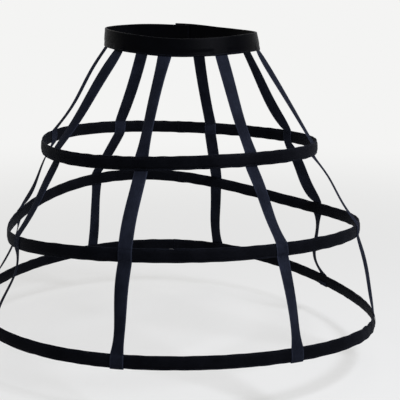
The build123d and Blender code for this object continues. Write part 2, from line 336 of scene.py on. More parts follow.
@dataclass(frozen=True)
class NickelPlate(Finish):
    """Stamped steel with a bright nickel plate, dulled by fine scratches from tumbling."""

    name: str = "nickel_plate"
    colour: str = "#b9b4a9"
    dull: str = "#8f8a80"

    def look(self, tree: Tree) -> dict:
        """Scratches 0.1 mm wide and duller patches a few millimetres across."""
        solid = solid_place(tree)
        scratches = noise(tree, stretched(tree, solid, (900, 9000, 9000)), 1.0, 2.0)
        patches = noise(tree, solid, 260.0, 3.0)
        return {
            "Base Color": ramp(tree, patches, [(0.35, self.dull), (0.65, self.colour)]),
            "Metallic": 1.0,
            "Roughness": mapped(tree, scratches, NOISE_SPAN, (0.22, 0.42)),
            "Normal": raised(tree, scratches, 0.01),
        }


@dataclass(frozen=True)
class CoatedSteel(Finish):
    """Spring-steel boning dipped in a thin white polymer coat, with faint drag lines along it."""

    name: str = "coated_spring_steel"
    colour: str = "#dcdcd6"
    stained: str = "#b9b8b0"

    def look(self, tree: Tree) -> dict:
        """Drag lines about a millimetre apart."""
        lines = noise(tree, stretched(tree, solid_place(tree), (60, 60, 1400)), 1.0, 2.0)
        return {
            "Base Color": ramp(tree, lines, [(0.3, self.stained), (0.6, self.colour)]),
            "Roughness": mapped(tree, lines, NOISE_SPAN, (0.3, 0.5)),
            "Normal": raised(tree, lines, 0.03),
            "IOR": 1.5,
        }


@dataclass(frozen=True)
class Buckram(Finish):
    """Cotton buckram stiffened with starch: an open, papery black weave."""

    name: str = "cotton_buckram"
    thread: str = "#1a1a1c"
    hollow: str = "#0b0b0c"

    def look(self, tree: Tree) -> dict:
        """Threads 1 mm apart."""
        solid = solid_place(tree)
        warp, weft = (bands(tree, solid, 1.0 * MM, axis, {"Distortion": 0.3}) for axis in ("Z", "X"))
        grid = joined(tree, "MAXIMUM", warp, weft)
        return {
            "Base Color": ramp(tree, grid, [(0.3, self.hollow), (0.8, self.thread)]),
            "Roughness": 0.85,
            "Normal": raised(tree, grid, 0.1),
        }


class ClothMesh:
    """Gathers the faces of one piece, with the position of each corner on the flat cloth."""

    def __init__(self) -> None:
        """Starts with no faces."""
        self.points: list[Array] = []
        self.faces: list[Array] = []
        self.flat: list[Array] = []
        self.count = 0

    def add_grid(self, grid: Array, along: Array, across: Array, flip: bool = False) -> None:
        """Adds a grid of quads.

        Args:
            grid: Points by row and column, in mm.
            along: Flat position of each row, with one more than the rows where the grid closes on itself.
            across: Flat position of each column, with one more than the columns where it closes.
            flip: Turns the faces round.
        """
        rows, columns = grid.shape[:2]
        i, j = np.meshgrid(np.arange(len(along) - 1), np.arange(len(across) - 1), indexing="ij")
        corners = [(i, j), (i + 1, j), (i + 1, j + 1), (i, j + 1)]
        if flip:
            corners.reverse()
        quads = np.stack([(a % rows) * columns + b % columns for a, b in corners], -1)
        flat = np.stack([np.stack([along[a], across[b]], -1) for a, b in corners], 2)
        self.points.append(grid.reshape(-1, 3))
        self.faces.append(quads.reshape(-1, 4) + self.count)
        self.flat.append(flat.reshape(-1, 2))
        self.count += rows * columns

    def add_tube(self, grid: Array, along: Array, across: Array, flip: bool = False) -> None:
        """Adds a grid whose rows are closed rings, as add_grid does, and closes its two ends."""
        first, (rows, size) = self.count, grid.shape[:2]
        self.add_grid(grid, along, across, flip)
        self.close_end(first, size, not flip)
        self.close_end(first + (rows - 1) * size, size, flip)

    def close_end(self, first: int, size: int, flip: bool) -> None:
        """Closes the open end of a tube whose ring of points starts at a number and has a size."""
        half = size // 2
        last = first + size - 1
        quads = np.array([(first + i, first + i + 1, last - 1 - i, last - i) for i in range(half - 1)])
        self.faces.append(quads[:, ::-1] if flip else quads)
        self.flat.append(np.zeros((len(quads) * 4, 2)))

    def build(self, name: str) -> bpy.types.Object:
        """Makes the object, in metres, with smooth faces."""
        mesh = bpy.data.meshes.new(name)
        points = np.concatenate(self.points) * MM
        mesh.from_pydata(points.tolist(), [], np.concatenate(self.faces).tolist())
        layer = mesh.uv_layers.new(name=CLOTH_MAP)
        layer.data.foreach_set("uv", (np.concatenate(self.flat) * MM).astype(np.float32).ravel())
        mesh.polygons.foreach_set("use_smooth", np.ones(len(mesh.polygons), bool))
        mesh.update()
        return add_object(name, mesh)


def dress(piece: bpy.types.Object, material: bpy.types.Material, nodes: tuple[str, ...] = ()) -> None:
    """Gives a piece its finish, its body and the solids that it stands for."""
    piece.data.materials.append(material)
    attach(piece, "root")
    if nodes:
        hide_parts(*nodes)
    log.info("%s: %d faces", piece.name, len(piece.data.polygons))


def normals(surface: Array) -> Array:
    """Normals of a grid of points, to the right of its rows as they run down."""
    return unit(np.cross(np.gradient(surface, axis=1), np.gradient(surface, axis=0)))


def thick_strip(surface: Array, across: Array, thickness: float) -> tuple[Array, Array]:
    """Gives a strip of cloth its thickness, with rounded edges.

    Args:
        surface: Points of the middle of the cloth by row and column, in mm.
        across: Flat position of each column.
        thickness: The cloth's thickness.

    Returns:
        The points of the closed strip, and the flat position of each of its columns.
    """
    facing = normals(surface)
    # A selvedge is a little thinner than the cloth, and its round edge stands out by a part of the thickness
    thinner, bulge = 0.72, 0.28
    half = np.full(surface.shape[1], thickness / 2)
    half[[0, -1]] *= thinner
    outer = surface + facing * half[:, None]
    inner = surface - facing * half[:, None]
    far = surface[:, -1] + unit(surface[:, -1] - surface[:, -2]) * thickness * bulge
    near = surface[:, 0] + unit(surface[:, 0] - surface[:, 1]) * thickness * bulge
    points = np.concatenate([outer, far[:, None], inner[:, ::-1], near[:, None]], axis=1)
    edge = thickness / 2
    spread = np.concatenate([across, [across[-1] + edge], across[::-1], [across[0] - edge, across[0]]])
    return points, spread


class Ripple:
    """Seeded waves that close on themselves round a loop: the unevenness of sewn cloth."""

    def __init__(self, seed: int, length: float, shortest: float, longest: float, count: int = 22) -> None:
        """Draws the waves.

        Args:
            seed: Seed of the draw.
            length: Length round the loop, in mm.
            shortest: Shortest wave.
            longest: Longest wave.
            count: Number of waves that are added up.
        """
        draw = np.random.default_rng(seed)
        self.length = length
        low, high = max(1, round(length / longest)), max(2, round(length / shortest))
        self.cycles = draw.integers(low, high + 1, count)
        self.phase = draw.uniform(0, 2 * np.pi, count)
        self.slant = draw.uniform(-1, 1, count) * np.pi / longest
        self.weight = draw.uniform(0.4, 1.0, count)
        self.weight /= math.sqrt(float((self.weight**2).sum()) / 2)

    def at(self, along: Array, across: Array | float = 0.0) -> Array:
        """Height of the waves, mostly between -1 and 1, at a place along and across the cloth."""
        total = 0.0
        for cycles, phase, slant, weight in zip(self.cycles, self.phase, self.slant, self.weight):
            total = total + weight * np.cos(2 * np.pi * cycles * along / self.length + phase + slant * across)
        return total / 1.6


@dataclass(frozen=True)
class Level:
    """One level of the cage as it hangs: an oval with a tilt and gentle waves.

    swell and wave give (cosine, sine) parts in mm, at two and at three waves round the loop. tilt is the rise
    along +X and along +Y. slope leans the top edge of what lies on the loop inwards, in degrees, and lean is
    how much more it does so on the right, and at the front and back.
    """

    centre: tuple[float, float, float]
    half_width: float
    half_depth: float
    slope: float
    tilt: tuple[float, float]
    swell: tuple[tuple[float, float], tuple[float, float]]
    wave: tuple[tuple[float, float], tuple[float, float]]
    lean: tuple[float, float] = (0.0, 0.0)
    lap: float = 0.0
    lap_half_angle: float = 0.0

    def harmonics(self, parts: tuple, angle: Array) -> Array:
        """Sum of the second and third harmonics at an angle."""
        turn = np.radians(angle)
        return sum(c * np.cos(k * turn) + s * np.sin(k * turn) for k, (c, s) in zip((2, 3), parts))

    def radius(self, angle: Array | float) -> Array:
        """Distance from the centre to the loop, seen from above."""
        turn = np.radians(angle)
        across = np.hypot(self.half_depth * np.sin(turn), self.half_width * np.cos(turn))
        return self.half_width * self.half_depth / across + self.harmonics(self.swell, angle)

    def place(self, angle: Array, out: Array | float, up: Array | float) -> Array:
        """Point on the loop, moved out from it and up along it, both across its slope.

        Args:
            angle: Angle round the loop.
            out: Distance outwards.
            up: Distance upwards.

        Returns:
            Points in mm, with one more axis than the arguments.
        """
        turn = np.radians(angle)
        right, front = self.lean
        lean = np.radians(self.slope + right * np.sin(turn) + front * np.cos(2 * turn))
        easing = beyond(angle, 180 - self.lap_half_angle - LAP_EASING, LAP_EASING)
        out = out + np.copysign(self.lap * easing, angle)
        radius = self.radius(angle)
        reach = radius + out * np.cos(lean) - up * np.sin(lean)
        foot = radius - up * np.sin(lean)
        drop = self.tilt[0] * foot * np.sin(turn) - self.tilt[1] * foot * np.cos(turn)
        rise = out * np.sin(lean) + up * np.cos(lean)
        x = self.centre[0] + reach * np.sin(turn)
        y = self.centre[1] - reach * np.cos(turn)
        z = self.centre[2] + drop + self.harmonics(self.wave, angle) + rise
        return np.stack(np.broadcast_arrays(x, y, z), -1)

    def past(self, angle: Array, place: float) -> Array:
        """Distance along the loop from a place to an angle, in mm, negative before the place."""
        return np.radians(apart(angle, place)) * self.radius(place)

    def length(self) -> float:
        """Length once round the loop."""
        ring = self.place(np.linspace(0, 360, 721), 0.0, 0.0)
        return float(np.linalg.norm(np.diff(ring, axis=0), axis=1).sum())


WAIST = Level(
    centre=(0.0, 0.0, 0.0),
    half_width=130.0,
    half_depth=117.0,
    slope=15.1,
    tilt=(-0.019, 0.036),
    swell=((0.0, 0.0), (0.0, 0.0)),
    wave=((-0.8, 0.8), (-1.4, 0.0)),
    lean=(4.4, 6.3),
    lap=2.94,
    lap_half_angle=6.37,
)

HOOPS = {
    "upper": Level(
        centre=(-2.5, -4.4, -178.9),
        half_width=231.7,
        half_depth=231.7,
        slope=2.9,
        tilt=(-0.001, -0.018),
        swell=((-4.5, -0.9), (0.0, -0.4)),
        wave=((0.3, 3.4), (0.5, 0.2)),
    ),
    "middle": Level(
        centre=(-0.3, -2.6, -310.8),
        half_width=305.5,
        half_depth=305.5,
        slope=1.8,
        tilt=(-0.0065, -0.001),
        swell=((0.8, -1.8), (-0.5, -7.5)),
        wave=((11.6, 7.8), (-2.5, -5.2)),
    ),
    "lower": Level(
        centre=(-7.2, 6.5, -462.3),
        half_width=351.0,
        half_depth=351.0,
        slope=6.4,
        tilt=(-0.0127, 0.0021),
        swell=((5.0, 10.1), (-6.1, 4.2)),
        wave=((6.7, 5.7), (-1.6, 2.1)),
    ),
}

TAPE_FACES = {"upper": Face.INSIDE, "middle": Face.OUTSIDE, "lower": Face.OUTSIDE}
# Where the sleeve of each bone sits, and where the ends of each casing lap
JOINT_ANGLE = 190.0
LAP_ANGLE = 182.0


@dataclass(frozen=True)
class Slack:
    """How a tape hangs between two levels.

    Each pair is the part that is greatest in the middle of the stretch and the part that swings from its upper
    to its lower half. out is outwards and along is towards a greater angle, in mm. turn is the twist of the
    tape about its own length, in degrees.
    """

    out: tuple[float, float]
    along: tuple[float, float]
    turn: tuple[float, float]


@dataclass(frozen=True)
class TapeHang:
    """One tape: its angle at the waist and at each hoop, and its slack above each hoop."""

    name: str
    waist: float
    hoops: tuple[float, float, float]
    slack: tuple[Slack, Slack, Slack]


HANGS = (
    TapeHang("front", -11.9, (-14.1, -14.5, -14.0), (
        Slack((1.3, -0.2), (-1.6, -0.2), (24, -5)),
        Slack((2.6, -0.5), (-1.8, 0.4), (-4, 5)),
        Slack((-1.2, -0.1), (-1.6, -1.2), (11, -23)),
    )),
    TapeHang("front_right", 31.9, (30.5, 32.7, 31.2), (
        Slack((-1.2, 0.3), (-1.2, 0.6), (-4, 8)),
        Slack((5.2, 0.3), (-3.6, 1.2), (-6, 10)),
        Slack((3.7, -0.9), (1.4, 0.5), (-15, 14)),
    )),
    TapeHang("right", 77.0, (74.0, 76.0, 76.0), (
        Slack((1.2, -0.2), (0.0, 0.1), (6, 10)),
        Slack((-0.3, 2.3), (4.5, 1.6), (-7, -2)),
        Slack((3.4, 1.0), (1.4, 0.3), (10, -4)),
    )),
    TapeHang("back_right", 123.0, (122.1, 122.5, 122.0), (
        Slack((-3.4, 1.5), (0.3, -0.4), (-17, 19)),
        Slack((-2.6, 2.8), (-1.8, 0.1), (-31, 11)),
        Slack((-13.3, 5.6), (-0.4, -0.4), (25, 9)),
    )),
    TapeHang("back", 168.0, (165.7, 167.2, 167.0), (
        Slack((-3.0, 0.0), (1.0, 0.0), (10, 0)),
        Slack((-2.0, 0.0), (-1.0, 0.0), (-8, 0)),
        Slack((-2.2, 0.4), (2.4, -1.0), (12, -8)),
    )),
    TapeHang("back_left", -147.0, (-149.3, -147.1, -150.5), (
        Slack((-4.0, 0.0), (-1.0, 0.0), (12, 0)),
        Slack((-2.5, 0.0), (1.0, 0.0), (6, 0)),
        Slack((0.0, 0.4), (0.0, 0.4), (-7, -8)),
    )),
    TapeHang("left", -102.0, (-105.3, -101.5, -104.0), (
        Slack((-1.4, 3.2), (-0.6, -0.1), (-2, 2)),
        Slack((-3.8, 3.6), (4.3, -1.7), (-25, 9)),
        Slack((-7.1, -0.8), (-0.6, -0.1), (-18, -1)),
    )),
    TapeHang("front_left", -53.5, (-58.0, -57.7, -59.0), (
        Slack((-0.7, 1.2), (0.5, -0.8), (-12, -8)),
        Slack((-2.0, 1.1), (0.2, -0.2), (-3, -5)),
        Slack((-8.5, -4.6), (-2.6, -0.6), (18, -1)),
    )),
)


# Each stitch: its share of the length, its height over the cloth in mm and its share of the thread's girth
STITCH_SHAPE = np.array([(0.0, -0.16, 0.45), (0.16, 0.06, 0.95), (0.84, 0.06, 0.95), (1.0, -0.16, 0.45)])
STITCH_SIDES = 6


@dataclass
class Stitching:
    """Rows of machine stitches, each stitch a short length of thread that dips into the cloth at both ends."""

    stitch: float = 2.5
    gap: float = 0.5
    thread: float = 0.34
    mesh: ClothMesh = field(default_factory=ClothMesh)

    def sew(self, seam: Array, facing: Array) -> None:
        """Sews one row along a line on the cloth.

        Args:
            seam: Points of the line on the cloth's surface.
            facing: Outward direction of the cloth at each point.
        """
        steps = distances(seam)
        pitch = self.stitch + self.gap
        count = int((steps[-1] + self.gap) // pitch)
        if count < 1:
            return
        starts = (steps[-1] + self.gap - count * pitch) / 2 + np.arange(count) * pitch
        along = STITCH_SHAPE[:, 0] * self.stitch
        where = starts[:, None] + along
        centres, away = (
            np.stack([np.interp(where, steps, line[:, k]) for k in range(3)], -1) for line in (seam, facing)
        )
        away = unit(away)
        centres = centres + away * STITCH_SHAPE[:, 1, None]
        beside = unit(np.cross(unit(centres[:, -1:] - centres[:, :1]), away))
        turns = (np.arange(STITCH_SIDES) * 2 * np.pi / STITCH_SIDES)[:, None]
        ring = away[:, :, None] * np.cos(turns) + beside[:, :, None] * np.sin(turns)
        points = centres[:, :, None] + ring * (self.thread / 2 * STITCH_SHAPE[:, 2])[:, None, None]
        girth = np.arange(STITCH_SIDES + 1) * self.thread * 0.5
        for stitch in points:
            self.mesh.add_tube(stitch, along, girth)

    def sew_on(self, level: Level, angle: Array, out: Array, up: Array, side: int) -> None:
        """Sews one row on a piece that lies on a level, on its outer side (1) or its inner side (-1)."""
        line = level.place(angle, out, up)
        self.sew(line, unit(level.place(angle, out + side, up) - line))


@dataclass
class Casing:
    """A hoop's casing: a flat cloth tube, sewn shut along both edges, with its bone between the two seams.

    Its thickness is greatest over the bone's sleeve and least at the seams. Each tape presses it where they
    cross, and one end laps over the other at the back, its raw edge turned under. edge_half, bone_half and
    sleeve_half are half thicknesses, and pocket is the half height that the bone fills out. pinch and press are
    how far the seams and the tapes draw the face in. The edge is round from rim_from outwards.
    """

    name: str
    level: Level
    crossings: tuple[float, ...]
    face: Face
    seed: int
    edge_half: float = 0.8
    bone_half: float = 1.95
    sleeve_half: float = 2.3
    pocket: float = 8.3
    sleeve_reach: float = 19.0
    rim_from: float = 10.1
    rim_depth: float = 0.9
    pinch: float = 0.22
    press: float = 0.22
    cloth: float = 0.4
    step: float = 2.8
    pucker: float = 0.16
    lumpiness: float = 0.10
    uneven: float = 0.28
    lap_length: float = 13.0
    lap_height: float = 0.45
    lap_wider: float = 0.3
    lumpy_at: tuple[float, float] = (0.0, 0.0)

    def __post_init__(self) -> None:
        """Draws the casing's unevenness."""
        self.around = self.level.length()
        self.short = Ripple(self.seed, self.around, 6, 15)
        self.long = Ripple(self.seed + 1, self.around, 28, 120)
        self.top = Ripple(self.seed + 2, self.around, 24, 110)
        self.foot = Ripple(self.seed + 3, self.around, 24, 110)

    def lumps(self, angle: Array) -> Array:
        """How much more uneven the casing is than elsewhere, at an angle."""
        where, spread = self.lumpy_at
        return 1 + (2.2 * bump(apart(angle, where), spread) if spread else 0.0)

    def pressed(self, angle: Array) -> Array:
        """How much a crossing tape presses the casing at an angle, from 0 to 1."""
        return sum(within(self.level.past(angle, crossing), 8, 7) for crossing in self.crossings)

    def lap(self, angle: Array) -> Array:
        """Share of the lap's height: a sharp edge at its fold and a soft slope at its hidden end."""
        before = -self.level.past(angle, LAP_ANGLE)
        return np.clip(before / 0.4 + 0.5, 0.0, 1.0) * within(before, self.lap_length, 5)

    def half(self, angle: Array, up: Array) -> Array:
        """Half of the casing's thickness at a place, without its unevenness."""
        high = np.abs(up)
        joint = within(self.level.past(angle, JOINT_ANGLE), self.sleeve_reach, 7)
        reach = self.pocket + 0.3 * joint
        full = self.bone_half + (self.sleeve_half - self.bone_half) * joint
        # The thickness rises over 3.2 mm, at the sleeve over half of that, and its top is slightly round
        swell = smooth((reach - high) / (3.2 - 1.6 * joint)) * (0.9 + 0.1 * np.cos(high / reach * np.pi / 2))
        half = self.edge_half + (full - self.edge_half) * swell - self.pinch * bump(high - CASING_SEAM, 0.55)
        rim = np.clip((high - self.rim_from) / self.rim_depth, 0.0, 1.0)
        return half * np.sqrt(1 - rim**2)

    def cover(self, up: Array) -> Array:
        """Half thickness that a stiffer tape follows: no pinch at the seams and no rounded rim."""
        return self.edge_half + 0.05 + (self.bone_half - self.edge_half) * within(up, 4.7, 4.2)

    def skin(self, angle: Array, side: int, up: Array, sink: float = 0.0) -> Array:
        """Points on one face of the casing.

        Args:
            angle: Angle round the hoop.
            side: 1 for the outer face and -1 for the inner one.
            up: Height along the casing.
            sink: Distance below the face, for the lining side of the cloth.

        Returns:
            Points in mm.
        """
        along = np.radians(angle) * self.around / (2 * np.pi)
        high, lumps, lap = np.abs(up), self.lumps(angle), self.lap(angle)
        half = self.half(angle, up) - sink
        wave = self.lumpiness * lumps * self.long.at(along * side, up * 2) * (high < CASING_RIM - 0.4)
        if sink:
            # The lining keeps clear of the bone
            half = half + np.maximum(wave, -0.03)
        else:
            pucker = self.pucker * lumps * bump(high - CASING_SEAM, 2.2) * self.short.at(along, up)
            half = half + self.lap_height * lap * (high < CASING_RIM) + pucker + wave
        half = half - self.press * self.pressed(angle) * within(up, 5.5, 3) * (side == self.face.value)
        shift = np.where(up > 0, self.top.at(along), self.foot.at(along)) * self.uneven * lumps
        up = up + (shift + self.lap_wider * lap * np.sign(up)) * beyond(up, 5, 6)
        return self.level.place(angle, side * half, up)

    def build(self) -> bpy.types.Object:
        """Builds the casing as a tube of cloth with an outer skin and a lining side."""
        # Rows close together give the fold of the lap its sharp edge
        fold = LAP_ANGLE + np.degrees(np.array([-0.9, -0.3, 0.0, 0.3, 0.9]) / self.level.radius(LAP_ANGLE))
        angle = np.linspace(0, 360, round(self.around / self.step), endpoint=False)
        angle = np.sort(np.concatenate([angle, fold]))[:, None]
        along = np.append(angle[:, 0], 360.0) / 360 * self.around
        # Heights on the skin, closest at the seam and the rim, and on the lining
        rise = np.array([0, 2.2, 4.2, 5.6, 6.6, 7.4, 8.0, 8.4, 8.7, 9.0, 9.4, 9.9, 10.4, 10.75, 10.93, 11.0])
        rise = np.concatenate([-rise[:0:-1], rise])
        pocket = np.array([-7.9, -6.5, -4.0, 0.0, 4.0, 6.5, 7.9])
        mesh = ClothMesh()
        back = self.skin(angle, -1, rise[None, ::-1])[:, 1:-1]
        ring = np.concatenate([self.skin(angle, 1, rise[None, :]), back], axis=1)
        mesh.add_grid(ring, along, np.concatenate([rise, rise[::-1][1:-1], rise[:1]]))
        faces = [self.skin(angle, side, pocket[None, ::side], self.cloth) for side in (1, -1)]
        across = np.concatenate([pocket, pocket[::-1], pocket[:1]])
        mesh.add_grid(np.concatenate(faces, axis=1), along, across, flip=True)
        return mesh.build(f"casing_cloth_{self.name}")

    def seam(self, angle: Array, side: int, up: Array) -> tuple[Array, Array]:
        """Points of a row of stitches on a face, and the direction away from the cloth at each of them."""
        line = self.skin(angle, side, up)
        return line, unit(line - self.skin(angle, side, up, 0.5))

    def seams(self) -> bpy.types.Object:
        """Sews both edges of the casing and its lap, seen on both of its faces."""
        stitching = Stitching()
        angle = np.linspace(0, 360, round(self.around / self.step) + 1)
        for side in (1, -1):
            # A seam shows where no tape lies on it
            free = self.pressed(angle) < 0.5 if side == self.face.value else np.ones_like(angle, bool)
            for up in (CASING_SEAM, -CASING_SEAM):
                line, away = self.seam(angle, side, np.full_like(angle, up))
                for run in np.split(np.arange(len(angle)), np.flatnonzero(~free)):
                    run = run[free[run]]
                    if len(run) > 3:
                        stitching.sew(line[run], away[run])
            for inside in (1.8, 9.5):
                up = np.linspace(-7.6, 7.6, 33)
                row = np.full_like(up, LAP_ANGLE - np.degrees(inside / self.level.radius(LAP_ANGLE)))
                stitching.sew(*self.seam(row, side, up))
        return stitching.mesh.build(f"casing_stitches_{self.name}")


@dataclass
class Tape:
    """A twill tape from its tuck in the waistband to its folded end under the lower hoop.

    held is the share of its sideways drift that is left at its tucked and at its folded end, and bend is how
    strongly the stiff tape keeps the direction in which it is sewn, in mm.
    """

    hang: TapeHang
    casings: dict[str, Casing]
    columns: int = 12
    step: float = 1.5
    tuck: float = 9.0
    fold: float = 9.0
    gap: float = 0.3
    curl: float = 1.5
    bend: float = 14.0
    held: tuple[float, float] = (0.5, 0.6)
    seam_in: float = 1.8

    def leans(self) -> list[float]:
        """Sideways drift of the tape at the waist and at each hoop, in mm for each mm of its length.

        A tape crosses a hoop on the way from the level above to the level below, so it takes a line between the
        two directions. At its sewn ends it is held nearly upright.
        """
        levels = [WAIST] + [casing.level for casing in self.casings.values()]
        angles = [self.hang.waist, *self.hang.hoops]
        leave, meet = [], []
        for above, below, start, end, slack in zip(levels, levels[1:], angles, angles[1:], self.hang.slack):
            chord = below.place(end, 0.0, CASING_RIM) - above.place(start, 0.0, -CASING_RIM)
            length = float(np.linalg.norm(chord))
            across = math.radians(end - start) * float(above.radius(start) + below.radius(end)) / 2
            bow, swing = slack.along
            leave.append((across + math.pi * (bow + 2 * swing)) / length)
            meet.append((across - math.pi * (bow - 2 * swing)) / length)
        between = [(a + b) / 2 for a, b in zip(meet, leave[1:])]
        return [self.held[0] * leave[0], *between, self.held[1] * meet[-1]]

    def stops(self, level: Level, angle: float, lean: float, out: Array, up: Array) -> Array:
        """Rows of points where the tape lies flat on a level, each with its distance outwards and its height."""
        share = np.linspace(-0.5, 0.5, self.columns + 1)
        across = share[None, :] * TAPE_WIDTH - lean * np.clip(up, -CASING_RIM, CASING_RIM)[:, None]
        return level.place(angle + np.degrees(across / level.radius(angle)), out[:, None], up[:, None])

    def stretch(self, top: Array, bottom: Array, slack: Slack, leave: Array, meet: Array) -> Array:
        """Rows of points between two levels.

        Args:
            top: The last row above.
            bottom: The first row below.
            slack: How the stretch hangs.
            leave: Direction in which the tape leaves the row above.
            meet: Direction in which it meets the row below.

        Returns:
            Points by row and column, without the two end rows.
        """
        start, end = top.mean(0), bottom.mean(0)
        chord = end - start
        axis = unit(chord)
        share = np.linspace(0, 1, max(4, round(float(np.linalg.norm(chord)) / self.step)) + 1)[1:-1, None]
        outwards = unit(np.array([start[0] + end[0], start[1] + end[1], 0.0]))
        sideways = np.cross([0.0, 0.0, 1.0], outwards)
        swing, sway = np.sin(np.pi * share), np.sin(2 * np.pi * share)
        # The stiff tape keeps the direction it is sewn in for a few millimetres, then bends to its line
        away = self.bend * (unit(leave) - axis) * share * (1 - share) ** 12
        back = self.bend * (axis - unit(meet)) * (1 - share) * share**12
        middle = start + chord * share + away + back
        middle = middle + outwards * (slack.out[0] * swing + slack.out[1] * sway)
        middle = middle + sideways * (slack.along[0] * swing + slack.along[1] * sway)
        ease = 1 - (2 * share - 1) ** 4
        turn = np.radians(ease * (slack.turn[0] + slack.turn[1] * (1 - 2 * share)))[:, :, None]
        arms = (top - start) * (1 - share[:, :, None]) + (bottom - end) * share[:, :, None]
        # Between the hoops nothing holds the tape flat, and its two selvedges curl a little inwards
        curl = self.curl * (1 / 3 - np.linspace(-1, 1, self.columns + 1) ** 2)
        arms = arms + outwards * (ease * curl)[:, :, None]
        turned = arms * np.cos(turn) + np.cross(axis, arms) * np.sin(turn)
        return middle[:, None] + turned + axis * (arms @ axis)[:, :, None] * (1 - np.cos(turn))

    def surface(self) -> Array:
        """Points of the middle of the tape from its tuck to its folded end, by row and column."""
        rows = np.arange(BAND_RIM - self.tuck, BAND_RIM + 0.1, self.step)
        leans = self.leans()
        parts = [self.stops(WAIST, self.hang.waist, leans[0], np.zeros_like(rows), -rows)]
        half = TAPE_THICKNESS / 2 + self.gap
        stops = zip(self.casings.items(), self.hang.hoops, leans[1:], self.hang.slack)
        for (name, casing), angle, lean, slack in stops:
            up = np.linspace(CASING_RIM, -CASING_RIM, 23)
            out = casing.face.value * (casing.cover(up) + half)
            if name == "lower":
                # The end goes under the lower edge and up the inside, where it is sewn down
                under = np.radians(np.linspace(0, 180, 9)[1:-1])
                reach = casing.edge_half + half
                rise = np.arange(-CASING_RIM, self.fold - CASING_RIM, 1.0)
                up = np.concatenate([up, -CASING_RIM - 0.85 * reach * np.sin(under), rise])
                out = np.concatenate([out, reach * np.cos(under), -(casing.cover(rise) + half)])
            rest = self.stops(casing.level, angle, lean, out, up)
            before = parts[-1]
            leave, meet = (end.mean(0) - start.mean(0) for start, end in (before[-2:], rest[:2]))
            parts += [self.stretch(before[-1], rest[0], slack, leave, meet), rest]
        surface = np.concatenate(parts)
        for _ in range(2):
            surface[1:-1] = (surface[:-2] + 2 * surface[1:-1] + surface[2:]) / 4
        return surface

    def build(self) -> bpy.types.Object:
        """Builds the tape with its thickness and its rounded selvedges."""
        surface = self.surface()
        along = distances(surface.mean(1))
        across = np.linspace(-TAPE_WIDTH / 2, TAPE_WIDTH / 2, self.columns + 1)
        points, spread = thick_strip(surface, across, TAPE_THICKNESS)
        mesh = ClothMesh()
        mesh.add_tube(points, along, spread)
        self.length = float(along[-1])
        return mesh.build(f"tape_cloth_{self.hang.name}")

    def sew(self, stitching: Stitching) -> None:
        """Sews the tape to each casing, with a closed box of stitches, and adds them to the rows so far."""
        reach = TAPE_WIDTH / 2 - self.seam_in
        across, rise = np.linspace(-reach, reach, 15), np.linspace(-CASING_SEAM, CASING_SEAM, 29)
        rows = [(across, np.full_like(across, up)) for up in (CASING_SEAM, -CASING_SEAM)]
        rows += [(np.full_like(rise, place), rise) for place in (reach, -reach)]
        for casing, angle, lean in zip(self.casings.values(), self.hang.hoops, self.leans()[1:]):
            level, side = casing.level, casing.face.value
            for place, up in rows:
                turn = angle + np.degrees((place - lean * up) / level.radius(angle))
                # The thread sinks a little into the tape's outer face
                out = side * (casing.cover(up) + self.gap + TAPE_THICKNESS - 0.03)
                stitching.sew_on(level, turn, out, up, side)


